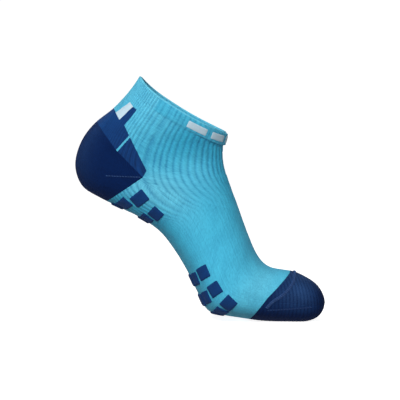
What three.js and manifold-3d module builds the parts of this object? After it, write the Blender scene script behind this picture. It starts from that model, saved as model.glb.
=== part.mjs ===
// A low-cut running sock as it sits on a left foot whose heel is raised off the ground.
// Millimetres, +X towards the toes, -Y the big-toe side, +Z up, ground at Z = 0.
// The knit is one surface lofted through stations from the toe tip to the collar. Each knitted
// area is that wall cut by an outline drawn in side view, so neighbours share their border.

import * as THREE from 'three';
import { mergeVertices } from 'three/addons/utils/BufferGeometryUtils.js';
import Module from 'manifold-3d';

const wasm = await Module();
wasm.setup();

// ---- driving dimensions ----
const overallLength = 200;      // toe tip to heel back, along X
const overallWidth = 92;        // across the ball of the foot
const overallHeight = 195;      // ground to the top of the heel tab
const legWall = 2.0;            // plain and ribbed knit
const cushionWall = 2.6;        // terry-backed heel, sole and toe
const clearance = 0.3;          // between neighbouring pieces
const collarDip = 4.5;          // how far the collar sags at the sides

const weltHeight = 10;          // turned band at the front of the collar
const weltPly = 1.1;            // thickness of its outer layer
const weltReach = 84;           // degrees it runs back from the front, each side
const elasticThickness = 0.6;   // laid-in elastic between the two layers of the welt
const elasticWidth = 1.8;
const elasticRows = 3;
const edgeRoll = 1.3;           // radius of the rolled collar edge

const ballAxis = { x: -6, z: 24 };      // toe joint of the foot inside
const ballRadius = 40;                  // where the forefoot knit meets the midfoot knit
const ankleAxis = { x: -40, z: 116 };   // ankle joint of the foot inside
const ankleRadius = 34;                 // where the leg knit meets the ankle knit

const padThickness = 0.8;       // raised cushion blocks under the foot
const padWeb = 0.4;             // knit that joins the blocks of one row
const padGap = 2.6;             // between neighbouring blocks of a row
const padLength = 10.6;         // along the foot

const seamWidth = 2.6;          // linked toe seam
const seamHeight = 1.0;
const goreWidth = 1.2;          // turning line at each side of heel and toe
const goreHeight = 0.5;
const dividerWidth = 1.7;       // light line between high splice and wing
const motifHeight = 5.6;        // plain bars knitted on the front of the welt
const motifThickness = 0.5;
const motifBars = 5;
const motifPitch = 30;          // degrees round the collar, from bar to bar
const motifFacets = 4;          // facets of the welt that a bar covers
const weltFacet = 6;            // degrees of collar to each facet

const ringSteps = 36;           // fineness of the loft
const roundSteps = 28;

// ---- the loft, drawn for a 200 x 92 x 195 sock and stretched to the overall sizes ----
const drawn = { length: 200, width: 92, height: 195 };
const stretchX = overallLength / drawn.length;
const stretchY = overallWidth / drawn.width;
const stretchZ = overallHeight / drawn.height;

// Top and sole points in side view, half width, and sideways shift towards the little toe.
const stations = [
  { top: [68, 15], sole: [68, 15], half: 0, shift: -13 },
  { top: [66.9, 20], sole: [66.3, 9], half: 13, shift: -12 },
  { top: [63.2, 26.8], sole: [61.4, 3], half: 22, shift: -11 },
  { top: [56.8, 32.4], sole: [52, -0.4], half: 29.5, shift: -8.5 },
  { top: [45.6, 38], sole: [36, -0.8], half: 36, shift: -5 },
  { top: [37.6, 39.6], sole: [17.6, -0.2], half: 41, shift: -2.5 },
  { top: [26.4, 41.4], sole: [0, 2.2], half: 44.5, shift: -1 },
  { top: [19.2, 45.4], sole: [-14.4, 4.6], half: 46, shift: -0.5 },
  { top: [12.8, 54], sole: [-26.4, 8.6], half: 45, shift: 0 },
  { top: [7.2, 66.8], sole: [-34.6, 23.6], half: 42, shift: 0 },
  { top: [2.4, 79.6], sole: [-42.4, 39.6], half: 38, shift: 0 },
  { top: [-2.4, 93.2], sole: [-52, 55.6], half: 35.5, shift: 0 },
  { top: [-7.2, 106], sole: [-62.4, 69.2], half: 34, shift: 0 },
  { top: [-10.6, 115.6], sole: [-74.4, 78.8], half: 33, shift: 0 },
  { top: [-12.9, 122.8], sole: [-93.6, 89.2], half: 32.5, shift: 0 },
  { top: [-13.7, 127.6], sole: [-112, 98], half: 32, shift: 0 },
  { top: [-14, 130.8], sole: [-126.4, 107.6], half: 32, shift: 0 },
  { top: [-14, 133.4], sole: [-132, 123.6], half: 32.5, shift: 0 },
  { top: [-13.9, 136], sole: [-128, 141.2], half: 33.5, shift: 0 },
  { top: [-13.8, 139.2], sole: [-117.6, 156.4], half: 34.5, shift: 0 },
  { top: [-13, 143.5], sole: [-100.8, 170], half: 36, shift: 0 },
  { top: [-12, 147.5], sole: [-88.8, 182.8], half: 37, shift: 0 },
  { top: [-11.4, 150], sole: [-80.4, 194.6], half: 37.5, shift: 0 },
];
const lastStation = stations.length - 1;
const heelStation = 17;         // the rearmost point of the heel
const widest = 0.45;            // level of the widest point, from sole to top
const soleFlatness = 0.62;      // below 1 flattens the underside
const sideFullness = 0.9;       // below 1 fills the sides out

const side = ([x, z]) => [x * stretchX, z * stretchZ];
const curveThrough = (pick) => new THREE.CatmullRomCurve3(
  stations.map((station) => new THREE.Vector3(...pick(station))), false, 'catmullrom', 0.5);
const topCurve = curveThrough(({ top }) => [side(top)[0], 0, side(top)[1]]);
const soleCurve = curveThrough(({ sole }) => [side(sole)[0], 0, side(sole)[1]]);
const widthCurve = curveThrough(({ half, shift }) => [half * stretchY, shift * stretchY, 0]);

const signedPower = (value, power) => Math.sign(value) * Math.abs(value) ** power;
const smoothstep = (low, high, value) => THREE.MathUtils.smoothstep(value, low, high);
const radians = THREE.MathUtils.degToRad;

// A point of the outer surface: t counts stations, angle runs from the top round by -Y.
function surfacePoint(t, angle) {
  const at = THREE.MathUtils.clamp(t, 0, lastStation) / lastStation;
  const top = topCurve.getPoint(at);
  const sole = soleCurve.getPoint(at);
  const width = widthCurve.getPoint(at);
  const up = Math.cos(angle);
  const level = up >= 0
    ? widest + (1 - widest) * up
    : widest * (1 - Math.abs(up) ** soleFlatness);
  const point = sole.clone().lerp(top, level);
  point.y = width.y - width.x * signedPower(Math.sin(angle), sideFullness);
  const dip = collarDip * smoothstep(heelStation, lastStation, t) * Math.sin(angle) ** 2;
  return point.addScaledVector(sectionNormal(top, sole), dip);
}

// Unit vector across a section, pointing towards the toes.
function sectionNormal(top, sole) {
  const across = top.clone().sub(sole);
  if (across.length() < 1e-6) return new THREE.Vector3(1, 0, 0);
  return new THREE.Vector3(across.z, 0, -across.x).normalize();
}

function surfaceNormal(t, angle) {
  if (t < 0.05) return new THREE.Vector3(1, 0, 0);
  const alongLow = surfacePoint(Math.max(t - 0.05, 0.02), angle);
  const along = surfacePoint(Math.min(t + 0.05, lastStation), angle).sub(alongLow);
  const round = surfacePoint(t, angle + 0.04).sub(surfacePoint(t, angle - 0.04));
  return along.cross(round).normalize();
}

const lifted = (t, angle, height) =>
  surfacePoint(t, angle).addScaledVector(surfaceNormal(t, angle), height);

// Heel, sole and toe carry terry loops inside, so their wall is thicker.
function wallThickness(t, angle) {
  const underfoot = smoothstep(-0.2, 0.5, -Math.cos(angle)) * (1 - smoothstep(18.5, 20, t));
  const toeBox = 1 - smoothstep(4.5, 5.5, t);
  return legWall + (cushionWall - legWall) * Math.max(underfoot, toeBox);
}

// Where a side-view point lies on the loft: its station and its angle on the -Y side.
function locate([x, z]) {
  const offSection = (t) => {
    const top = topCurve.getPoint(t / lastStation);
    const sole = soleCurve.getPoint(t / lastStation);
    return (top.x - sole.x) * (z - sole.z) - (top.z - sole.z) * (x - sole.x);
  };
  let low = 0.5;
  let high = lastStation;
  for (let step = 0; step < 40; step += 1) {
    const middle = (low + high) / 2;
    if (offSection(middle) > 0) low = middle;
    else high = middle;
  }
  const top = topCurve.getPoint(low / lastStation);
  const sole = soleCurve.getPoint(low / lastStation);
  const reach = Math.hypot(top.x - sole.x, top.z - sole.z);
  const level = THREE.MathUtils.clamp(Math.hypot(x - sole.x, z - sole.z) / reach, 0, 1);
  const angle = level >= widest
    ? Math.acos((level - widest) / (1 - widest))
    : Math.PI - Math.acos((1 - level / widest) ** (1 / soleFlatness));
  return { t: low, angle };
}

// ---- solids ----
function toSolid(geometry) {
  const bare = geometry.clone();
  bare.deleteAttribute('normal');
  bare.deleteAttribute('uv');
  const merged = mergeVertices(bare, 1e-4);
  return new wasm.Manifold(new wasm.Mesh({
    numProp: 3,
    vertProperties: new Float32Array(merged.attributes.position.array),
    triVerts: new Uint32Array(merged.index.array),
  }));
}

function toGeometry(solid) {
  const { vertProperties, triVerts } = solid.getMesh();
  const geometry = new THREE.BufferGeometry();
  geometry.setAttribute('position', new THREE.BufferAttribute(vertProperties, 3));
  geometry.setIndex(new THREE.BufferAttribute(triVerts, 1));
  geometry.computeVertexNormals();
  return geometry;
}

function fromTriangles(points, faces) {
  const geometry = new THREE.BufferGeometry();
  geometry.setAttribute('position', new THREE.Float32BufferAttribute(
    points.flatMap((point) => point.toArray()), 3));
  geometry.setIndex(faces.flat());
  return geometry;
}

// Closes rings of equal length into a solid, with a single point or a fan at each end.
function loft(rings, tip) {
  const count = rings[0].length;
  const points = [tip, ...rings.flat()];
  const end = rings[rings.length - 1];
  const middle = end.reduce((sum, point) => sum.add(point), new THREE.Vector3());
  points.push(middle.divideScalar(count));
  const index = (ring, place) => 1 + ring * count + (place % count);
  const faces = [];
  for (let place = 0; place < count; place += 1) {
    faces.push([0, index(0, place), index(0, place + 1)]);
    for (let ring = 0; ring + 1 < rings.length; ring += 1) {
      const corners = [index(ring, place), index(ring + 1, place)];
      const next = [index(ring + 1, place + 1), index(ring, place + 1)];
      faces.push([corners[0], corners[1], next[0]], [corners[0], next[0], next[1]]);
    }
    faces.push([points.length - 1, index(rings.length - 1, place + 1),
      index(rings.length - 1, place)]);
  }
  return outwardFacing(fromTriangles(points, faces));
}

// The rings crowd together at the toe tip, where the surface turns most.
function ringPlaces() {
  const places = [];
  for (let step = 1; step <= ringSteps; step += 1) {
    places.push(lastStation * (step / ringSteps) ** 1.12);
  }
  return places;
}

const angleOf = (place) => (2 * Math.PI * place) / roundSteps;

function ringAt(t, inward) {
  return Array.from({ length: roundSteps }, (_, place) => {
    const angle = angleOf(place);
    return lifted(t, angle, -inward(t, angle));
  });
}

function outerBody() {
  const rings = ringPlaces().map((t) => ringAt(t, () => 0));
  return toSolid(loft(rings, surfacePoint(0, 0)));
}

// The hollow runs on past the collar, so that cutting it leaves the mouth open.
function hollowBody() {
  const rings = ringPlaces().map((t) => ringAt(t, wallThickness));
  const outward = sectionNormal(topCurve.getPoint(1), soleCurve.getPoint(1)).multiplyScalar(-12);
  rings.push(rings[rings.length - 1].map((point) => point.clone().add(outward)));
  const tip = surfacePoint(0, 0);
  tip.x -= cushionWall;
  return toSolid(loft(rings, tip));
}

const farOut = 400;

function slab(outline, yLow = -farOut, yHigh = farOut) {
  const shape = new THREE.Shape(outline.map(([x, z]) => new THREE.Vector2(x, z)));
  const geometry = new THREE.ExtrudeGeometry(shape, { depth: yHigh - yLow, bevelEnabled: false });
  geometry.rotateX(Math.PI / 2);
  geometry.translate(0, yHigh, 0);
  return toSolid(geometry);
}

// Draws every edge of an outline inwards, which leaves the clearance between two areas.
function inset(outline, amount) {
  const area = outline.reduce((sum, [x, z], place) => {
    const [nextX, nextZ] = outline[(place + 1) % outline.length];
    return sum + x * nextZ - nextX * z;
  }, 0);
  const turn = Math.sign(area) * amount;
  return outline.map((corner, place) => {
    const before = outline[(place + outline.length - 1) % outline.length];
    const after = outline[(place + 1) % outline.length];
    const inDirection = new THREE.Vector2(corner[0] - before[0], corner[1] - before[1]).normalize();
    const outDirection = new THREE.Vector2(after[0] - corner[0], after[1] - corner[1]).normalize();
    const bisector = new THREE.Vector2(
      -(inDirection.y + outDirection.y), inDirection.x + outDirection.x);
    const scale = (2 * turn) / bisector.lengthSq();
    return [corner[0] + bisector.x * scale, corner[1] + bisector.y * scale];
  });
}

function arc(axis, radius, fromDegrees, toDegrees) {
  const steps = Math.ceil(Math.abs(toDegrees - fromDegrees) / 6);
  return Array.from({ length: steps + 1 }, (_, step) => {
    const angle = radians(fromDegrees + ((toDegrees - fromDegrees) * step) / steps);
    return [axis.x + radius * Math.cos(angle), axis.z + radius * Math.sin(angle)];
  });
}

const aboveGround = slab([[-farOut, 0], [farOut, 0], [farOut, farOut], [-farOut, farOut]]);
const wall = outerBody().subtract(hollowBody()).intersect(aboveGround);

const area = (outline, yLow, yHigh) =>
  wall.intersect(slab(inset(outline, clearance / 2), yLow, yHigh));

// ---- borders of the knitted areas, in side view ----
const spliceBack = side([-100.8, 170]);
const blockLow = side([-96, 161.4]);
const blockHigh = side([-85.2, 171.9]);
const blockBack = side([-99.2, 166.8]);
const blockTop = side([-87.6, 175.4]);
const barFront = side([-82.2, 169.4]);
const barLow = side([-92, 157.2]);
const spliceFront = side([-88.2, 149.2]);
const heelTop = side([-113.4, 158]);
const heelMiddle = side([-98.6, 137.6]);
const wingTip = side([-77.4, 115.8]);
const wingFront = side([-74.4, 121]);
const heelLow = side([-106.4, 95.9]);
const tabFront = side([-66, 186]);
const toeTop = side([39, 38]);
const toeMiddle = side([21.5, 20.8]);
const toeLow = side([7.4, 2.4]);
const goreLevel = side([0, 115.8])[1];

const [outLeft, outRight, outUp, outDown] = [-farOut / 2, farOut / 2, farOut, -farOut / 4];
const axisAt = ({ x, z }) => ({ x: x * stretchX, z: z * stretchZ });
const ball = axisAt(ballAxis);
const ankle = axisAt(ankleAxis);
const ballBorder = arc(ball, ballRadius, 190, 42);
const ankleBorder = arc(ankle, ankleRadius, 172, 16);

// A level line along the foot, a share of the way from the sole to the top.
function levelLine(share, fromStation, toStation, steps) {
  return Array.from({ length: steps + 1 }, (_, step) => {
    const at = (fromStation + ((toStation - fromStation) * step) / steps) / lastStation;
    const point = soleCurve.getPoint(at).lerp(topCurve.getPoint(at), share);
    return [point.x, point.z];
  });
}

const between = ([fromX, fromZ], [toX, toZ], share) =>
  [fromX + (toX - fromX) * share, fromZ + (toZ - fromZ) * share];
const towards = (from, to, distance) =>
  between(from, to, distance / Math.hypot(to[0] - from[0], to[1] - from[1]));
const extend = (from, to, by) => towards(to, from, -by);
const wingBack = towards(heelMiddle, wingTip, dividerWidth);
const wingTop = towards(spliceFront, wingFront, dividerWidth);
const heelLowOut = extend(wingTip, heelLow, 30);
const heelTopOut = extend(heelMiddle, heelTop, 40);
const spliceBackOut = extend(blockLow, spliceBack, 40);
const tabFrontOut = extend(barFront, tabFront, 60);
const toeTopOut = extend(toeMiddle, toeTop, 30);
const toeLowOut = extend(toeMiddle, toeLow, 30);
const sideSeamAngle = 135;      // where the sole's side line meets the ball border
const soleShare = 0.24;         // height of that line, from sole to top
const archLine = levelLine(soleShare, 10.6, 14, 5);
const archBack = between(wingTip, heelLow, 0.45);
const forefootLine = levelLine(soleShare, 9.7, 6, 5);
const toeGoreBack = between(toeMiddle, toeLow, 0.5);
const toeGoreFront = [outRight, toeGoreBack[1] + 3];

// ---- pieces ----
const sock = new THREE.Group();

function finish(color, roughness) {
  return new THREE.MeshStandardMaterial({ color, roughness, metalness: 0 });
}

const finishes = {
  skyKnit: () => finish(0x4cb4d6, 0.9),
  navyKnit: () => finish(0x1b467c, 0.9),
  darkKnit: () => finish(0x11284f, 0.92),
  blockKnit: () => finish(0x16326a, 0.92),
  whiteKnit: () => finish(0xbbd6e3, 0.85),
  seamYarn: () => finish(0x466698, 0.8),
  elasticYarn: () => finish(0xd9dde0, 0.6),
};

function addPiece(name, geometry, material) {
  const mesh = new THREE.Mesh(geometry, material);
  mesh.name = name;
  sock.add(mesh);
}

const addArea = (name, solid, material) => addPiece(name, toGeometry(solid), material);

function addLegAreas() {
  const leg = [tabFrontOut, barFront, barLow, spliceFront, wingTop, wingFront, ...ankleBorder,
    [outRight, ankleBorder.at(-1)[1]], [outRight, outUp], [tabFrontOut[0], outUp]];
  addArea('leg_rib_panel', area(leg), finishes.skyKnit());

  const block = [blockLow, blockHigh, blockTop, blockBack];
  const bar = [blockLow, barLow, barFront, blockHigh];
  const tab = [spliceBackOut, spliceBack, blockLow, barLow, barFront, tabFront, tabFrontOut,
    [tabFrontOut[0], outUp], [outLeft, outUp], [outLeft, spliceBackOut[1]]];
  const inlay = slab(block).add(slab(bar));
  addArea('heel_tab', area(tab).subtract(inlay), finishes.skyKnit());
  for (const [name, low, high] of [['inner', -farOut, 0], ['outer', 0, farOut]]) {
    addArea(`tab_block_${name}`, area(block, low, high), finishes.whiteKnit());
    addArea(`tab_bar_${name}`, area(bar, low, high), finishes.navyKnit());
  }
}

function addSplice() {
  const splice = [spliceBackOut, spliceBack, blockLow, barLow, spliceFront, heelMiddle, heelTop,
    heelTopOut];
  addArea('high_splice', area(splice), finishes.navyKnit());
  const divider = [spliceFront, wingTop, wingBack, heelMiddle];
  const wing = [wingTop, wingFront, ...arc(ankle, ankleRadius, 172, 180), wingTip, wingBack];
  for (const [name, low, high] of [['inner', -farOut, 0], ['outer', 0, farOut]]) {
    addArea(`splice_line_${name}`, area(divider, low, high), finishes.skyKnit());
    addArea(`splice_wing_${name}`, area(wing, low, high), finishes.navyKnit());
  }
}

function addFootAreas() {
  const gore = [outLeft, goreLevel];
  const heelUpper = [heelTopOut, heelTop, heelMiddle, wingTip, gore, [outLeft, heelTopOut[1]]];
  const heelLower = [gore, wingTip, heelLow, heelLowOut, [outLeft, heelLowOut[1]]];
  addArea('heel_pocket_upper', area(heelUpper), finishes.darkKnit());
  addArea('heel_pocket_lower', area(heelLower), finishes.darkKnit());

  const ankleArea = [wingTip, ...arc(ankle, ankleRadius, 180, 16),
    [outRight, ankleBorder.at(-1)[1]], [outRight, goreLevel]];
  addArea('ankle_panel', area(ankleArea), finishes.skyKnit());

  const instep = [wingTip, [outRight, goreLevel], [outRight, ballBorder.at(-1)[1]],
    ...arc(ball, ballRadius, 42, sideSeamAngle), ...archLine, archBack];
  const arch = [archBack, ...archLine.toReversed(), ...arc(ball, ballRadius, sideSeamAngle, 190),
    [ballBorder[0][0], outDown], [outLeft, outDown], heelLowOut, heelLow];
  addArea('instep_panel', area(instep), finishes.skyKnit());
  addArea('arch_sole', area(arch), finishes.skyKnit());
}

function addForefootAreas() {
  const upper = [...arc(ball, ballRadius, sideSeamAngle, 42), toeTopOut, toeTop, toeMiddle,
    toeGoreBack, ...forefootLine.toReversed()];
  const sole = [...forefootLine, toeGoreBack, toeLow, toeLowOut,
    [ballBorder[0][0], toeLowOut[1]], ...arc(ball, ballRadius, 190, sideSeamAngle)];
  addArea('forefoot_upper', area(upper), finishes.skyKnit());
  addArea('forefoot_sole', area(sole), finishes.skyKnit());

  const upperToe = [toeTopOut, toeTop, toeMiddle, toeGoreBack, toeGoreFront,
    [outRight, toeTopOut[1]]];
  const soleToe = [toeGoreBack, toeLow, toeLowOut, [outRight, toeLowOut[1]], toeGoreFront];
  addArea('toe_pocket_upper', area(upperToe), finishes.darkKnit());
  addArea('toe_pocket_sole', area(soleToe), finishes.darkKnit());
}

// ---- raised pieces that lie on the wall ----

// A closed strip over a row of frames, each with a place, a direction outwards and one sideways.
function strip(frames, width, height, closed = false) {
  const half = width / 2;
  const outline = [[-half, 0], [half, 0], [half * 0.7, height], [-half * 0.7, height]];
  const points = frames.flatMap(({ place, out, across }) => outline.map(([u, v]) =>
    place.clone().addScaledVector(across, u).addScaledVector(out, v)));
  const size = outline.length;
  const count = frames.length;
  const faces = [];
  for (let step = 0; step < (closed ? count : count - 1); step += 1) {
    for (let corner = 0; corner < size; corner += 1) {
      const [a, b] = [step * size + corner, step * size + ((corner + 1) % size)];
      const [c, d] = [((step + 1) % count) * size + ((corner + 1) % size),
        ((step + 1) % count) * size + corner];
      faces.push([a, b, c], [a, c, d]);
    }
  }
  if (!closed) {
    const end = (count - 1) * size;
    faces.push([0, 2, 1], [0, 3, 2], [end, end + 1, end + 2], [end, end + 2, end + 3]);
  }
  return outwardFacing(fromTriangles(points, faces));
}

function outwardFacing(geometry) {
  const index = geometry.index.array;
  const position = geometry.attributes.position;
  const corner = (place) => new THREE.Vector3().fromBufferAttribute(position, index[place]);
  let volume = 0;
  for (let face = 0; face < index.length; face += 3) {
    volume += corner(face).dot(corner(face + 1).cross(corner(face + 2)));
  }
  if (volume < 0) {
    for (let face = 0; face < index.length; face += 3) {
      [index[face + 1], index[face + 2]] = [index[face + 2], index[face + 1]];
    }
  }
  geometry.computeVertexNormals();
  return geometry;
}

// Frames along a line of [station, angle] pairs, a height above the knit.
function framesOn(line, height) {
  return line.map(([t, angle], step) => {
    const out = surfaceNormal(t, angle);
    const [fromT, fromAngle] = line[Math.max(step - 1, 0)];
    const [toT, toAngle] = line[Math.min(step + 1, line.length - 1)];
    const along = surfacePoint(toT, toAngle).sub(surfacePoint(fromT, fromAngle));
    const across = along.cross(out).normalize();
    return { place: lifted(t, angle, height), out, across };
  });
}

const mirrored = (line) => line.map(([t, angle]) => [t, -angle]);

function lineBetween(points, steps) {
  const curve = new THREE.CatmullRomCurve3(
    points.map(([x, z]) => new THREE.Vector3(x, 0, z)), false, 'catmullrom', 0.5);
  return curve.getPoints(steps).map(({ x, z }) => {
    const { t, angle } = locate([x, z]);
    return [t, angle];
  });
}

function addGores() {
  const heelLine = lineBetween([side([-106, 117]), side([-80, 116])], 6);
  const toeLine = lineBetween([side([22, 11]), side([40, 11.8]), side([56, 12.8])], 8);
  for (const [name, line] of [['inner', (path) => path], ['outer', mirrored]]) {
    addPiece(`heel_gore_${name}`, strip(framesOn(line(heelLine), clearance), goreWidth,
      goreHeight), finishes.seamYarn());
    addPiece(`toe_gore_${name}`, strip(framesOn(line(toeLine), clearance), goreWidth,
      goreHeight), finishes.seamYarn());
  }
}

// The toe seam climbs from one gore over the top of the toes to the other.
function addToeSeam() {
  const climb = lineBetween(
    [side([21, 13]), side([26, 18]), side([34.5, 23.5]), side([42, 31.6])], 12);
  const [crest] = climb.at(-1);
  const crestAngle = climb.at(-1)[1];
  const overSteps = 14;
  const over = Array.from({ length: overSteps - 1 }, (_, step) =>
    [crest, crestAngle * (1 - (2 * (step + 1)) / overSteps)]);
  const path = [...climb, ...over, ...mirrored(climb).toReversed()];
  addPiece('toe_seam', strip(framesOn(path, clearance), seamWidth, seamHeight),
    finishes.seamYarn());
}

// Angle reached by walking a distance round a section from the middle of the sole.
function angleAtDistance(t, distance) {
  const step = 0.01;
  let angle = Math.PI;
  let walked = 0;
  let last = surfacePoint(t, angle);
  while (walked < Math.abs(distance)) {
    angle -= step;
    const next = surfacePoint(t, angle);
    walked += next.distanceTo(last);
    last = next;
  }
  return distance < 0 ? 2 * Math.PI - angle : angle;
}

// A curved plate over rows of [station, angle] pairs, its height given for each column.
function plate(rows, low, heights) {
  const grid = (height) => rows.map((row) => row.map(([t, angle], column) =>
    lifted(t, angle, height(column))));
  const bottom = grid(() => low);
  const top = grid((column) => low + heights[column]);
  const columns = heights.length;
  const size = rows.length * columns;
  const points = [...bottom.flat(), ...top.flat()];
  const faces = [];
  const quad = (a, b, c, d) => faces.push([a, b, c], [a, c, d]);
  for (let row = 0; row + 1 < rows.length; row += 1) {
    for (let column = 0; column + 1 < columns; column += 1) {
      const a = row * columns + column;
      quad(a, a + 1, a + columns + 1, a + columns);
      quad(size + a, size + a + columns, size + a + columns + 1, size + a + 1);
    }
    const first = row * columns;
    const last = first + columns - 1;
    quad(first, first + columns, size + first + columns, size + first);
    quad(last + columns, last, size + last, size + last + columns);
  }
  for (let column = 0; column + 1 < columns; column += 1) {
    const end = size - columns + column;
    quad(column + 1, column, size + column, size + column + 1);
    quad(end, end + 1, size + end + 1, size + end);
  }
  return outwardFacing(fromTriangles(points, faces));
}

// Walks round a section from the middle of the sole and returns the distance to an angle.
function distanceToAngle(t, target) {
  const steps = 200;
  let walked = 0;
  let last = surfacePoint(t, Math.PI);
  for (let step = 1; step <= steps; step += 1) {
    const next = surfacePoint(t, Math.PI + ((target - Math.PI) * step) / steps);
    walked += next.distanceTo(last);
    last = next;
  }
  return walked;
}

// Blocks of one row stand on a thin web. The outermost one is centred on the point given in
// side view, and the others are spaced evenly from there to its mirror image.
function addPadRow(name, centre, blocks) {
  const { t, angle: outermost } = locate(side(centre));
  const pitch = (2 * distanceToAngle(t, outermost)) / (blocks - 1);
  const padWidth = pitch - padGap;
  const speed = surfacePoint(t + 0.5, outermost).distanceTo(surfacePoint(t - 0.5, outermost));
  const reach = padLength / speed / 2;
  const edge = 0.15;
  const angles = [];
  const heights = [];
  for (let block = 0; block < blocks; block += 1) {
    const start = (block - blocks / 2) * pitch + padGap / 2;
    const offsets = [[-edge, padWeb], [0, padThickness], [padWidth / 2, padThickness],
      [padWidth, padThickness], [padWidth + edge, padWeb]];
    const kept = offsets.slice(block === 0 ? 1 : 0, block === blocks - 1 ? 4 : 5);
    for (const [offset, height] of kept) {
      angles.push(angleAtDistance(t, start + offset));
      heights.push(height);
    }
  }
  const rows = [t - reach, t, t + reach].map((rowT) => angles.map((angle) => [rowT, angle]));
  addPiece(name, plate(rows, clearance, heights), finishes.blockKnit());
}

function addPads() {
  const rows = {
    forefoot_pads_1: [[-29.8, 40.2], 7],
    forefoot_pads_2: [[-20.6, 27.4], 8],
    forefoot_pads_3: [[-9.6, 16.1], 8],
    arch_pads_1: [[-80.1, 98.6], 6],
    arch_pads_2: [[-67.2, 86.3], 6],
  };
  Object.entries(rows).forEach(([name, [centre, blocks]]) => addPadRow(name, centre, blocks));
}

// ---- collar ----
const weltStand = clearance + elasticThickness + clearance;
const edgeStand = 2 * clearance;    // the rim slopes a little towards the mouth

// Station reached by walking a distance down the knit from the rim.
function belowRim(angle, distance) {
  const step = 0.02;
  let t = lastStation;
  let walked = 0;
  let last = surfacePoint(t, angle);
  while (walked < distance) {
    t -= step;
    const next = surfacePoint(t, angle);
    walked += next.distanceTo(last);
    last = next;
  }
  return t;
}

const bandRows = (angles, distances) => distances.map((distance) =>
  angles.map((angle) => [belowRim(angle, distance), angle]));

function addCollar() {
  const turns = 2 * Math.round(weltReach / weltFacet);
  const angles = Array.from({ length: turns + 1 }, (_, step) =>
    radians((step - turns / 2) * weltFacet));
  const levels = [0, weltHeight / 2, weltHeight];
  addPiece('welt_outer', plate(bandRows(angles, levels), weltStand,
    angles.map(() => weltPly)), finishes.skyKnit());

  for (let row = 0; row < elasticRows; row += 1) {
    const centre = ((row + 0.5) * weltHeight) / elasticRows;
    const edges = [centre - elasticWidth / 2, centre + elasticWidth / 2];
    addPiece(`welt_elastic_${row + 1}`, plate(bandRows(angles, edges), clearance,
      angles.map(() => elasticThickness)), finishes.elasticYarn());
  }

  const outward = sectionNormal(topCurve.getPoint(1), soleCurve.getPoint(1)).negate();
  const frames = Array.from({ length: roundSteps }, (_, place) => {
    const angle = angleOf(place);
    const onRim = lifted(lastStation, angle, -legWall / 2).addScaledVector(outward, edgeStand);
    return { place: onRim, out: outward, across: surfaceNormal(lastStation, angle) };
  });
  addPiece('collar_edge', strip(frames, 2 * edgeRoll, 2 * edgeRoll, true), finishes.skyKnit());

  const stand = weltStand + weltPly + clearance;
  const barLevels = [-1, 0, 1].map((place) => (weltHeight + place * motifHeight) / 2);
  for (let bar = 0; bar < motifBars; bar += 1) {
    const centre = motifPitch * (bar - (motifBars - 1) / 2);
    const barAngles = Array.from({ length: motifFacets + 1 }, (_, step) =>
      radians(centre + (step - motifFacets / 2) * weltFacet));
    addPiece(`welt_bar_${bar + 1}`, plate(bandRows(barAngles, barLevels), stand,
      barAngles.map(() => motifThickness)), finishes.whiteKnit());
  }
}

addLegAreas();
addSplice();
addFootAreas();
addForefootAreas();
addGores();
addToeSeam();
addPads();
addCollar();

export default sock;
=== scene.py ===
# Low-cut running sock on a raised left foot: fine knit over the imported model.
import math
import bmesh
import bpy
import numpy as np
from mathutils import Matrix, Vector


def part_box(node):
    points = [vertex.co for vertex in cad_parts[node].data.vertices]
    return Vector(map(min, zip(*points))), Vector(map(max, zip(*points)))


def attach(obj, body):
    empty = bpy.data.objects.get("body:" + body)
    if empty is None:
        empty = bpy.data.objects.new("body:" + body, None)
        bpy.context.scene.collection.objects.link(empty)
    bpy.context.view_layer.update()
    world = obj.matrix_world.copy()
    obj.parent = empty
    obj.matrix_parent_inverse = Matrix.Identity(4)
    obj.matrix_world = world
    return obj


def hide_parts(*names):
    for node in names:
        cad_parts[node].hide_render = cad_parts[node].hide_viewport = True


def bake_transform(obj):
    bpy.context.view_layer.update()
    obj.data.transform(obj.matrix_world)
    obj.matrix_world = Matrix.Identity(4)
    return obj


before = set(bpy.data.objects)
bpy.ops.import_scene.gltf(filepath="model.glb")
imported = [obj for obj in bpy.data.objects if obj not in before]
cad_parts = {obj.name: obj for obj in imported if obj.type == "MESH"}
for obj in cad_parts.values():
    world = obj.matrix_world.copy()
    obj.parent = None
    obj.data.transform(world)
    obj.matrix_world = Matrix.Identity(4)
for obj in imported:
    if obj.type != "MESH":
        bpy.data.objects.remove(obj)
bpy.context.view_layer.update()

mm = 0.001
print("frame loaded:", len(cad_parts), "nodes")

# camera, floor and light
viewSettings = {
    "target": (-0.032, 0.0, 0.0960),
    "elevation": 3.3,  # degrees above the horizon
    "lens": 330.0,
    "frameWidth": 0.3210,  # metres across the view at the sock
    "sensor": 36.0,
}
lightSettings = {
    "key": {"at": (-0.45, -1.9, 1.0), "size": 0.6, "power": 33.0},
    "fill": {"at": (0.9, -1.5, 0.5), "size": 0.9, "power": 4.0},
    "top": {"at": (-0.6, -0.5, 1.6), "size": 1.0, "power": 11.0},
}
floorSettings = {
    "half": 6.0,
    "near": -5.0,
    "rise": 0.4,  # slope where the floor turns up into the backdrop
    "wall": 4.0,
    "surface": {"Base Color": (0.62, 0.62, 0.62, 1), "Roughness": 1.0, "Specular IOR Level": 0.0,
                "Emission Color": (1, 1, 1, 1), "Emission Strength": 0.9},
}
worldSettings = {
    "lit": {"Color": (0.95, 0.97, 1, 1), "Strength": 0.22},
    "seen": {"Color": (1, 1, 1, 1), "Strength": 1.0},
}


def newObject(name, data):
    made = bpy.data.objects.new(name, data)
    bpy.context.scene.collection.objects.link(made)
    return made


def setInputs(node, values):
    for label, value in values.items():
        node.inputs[label].default_value = value


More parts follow.
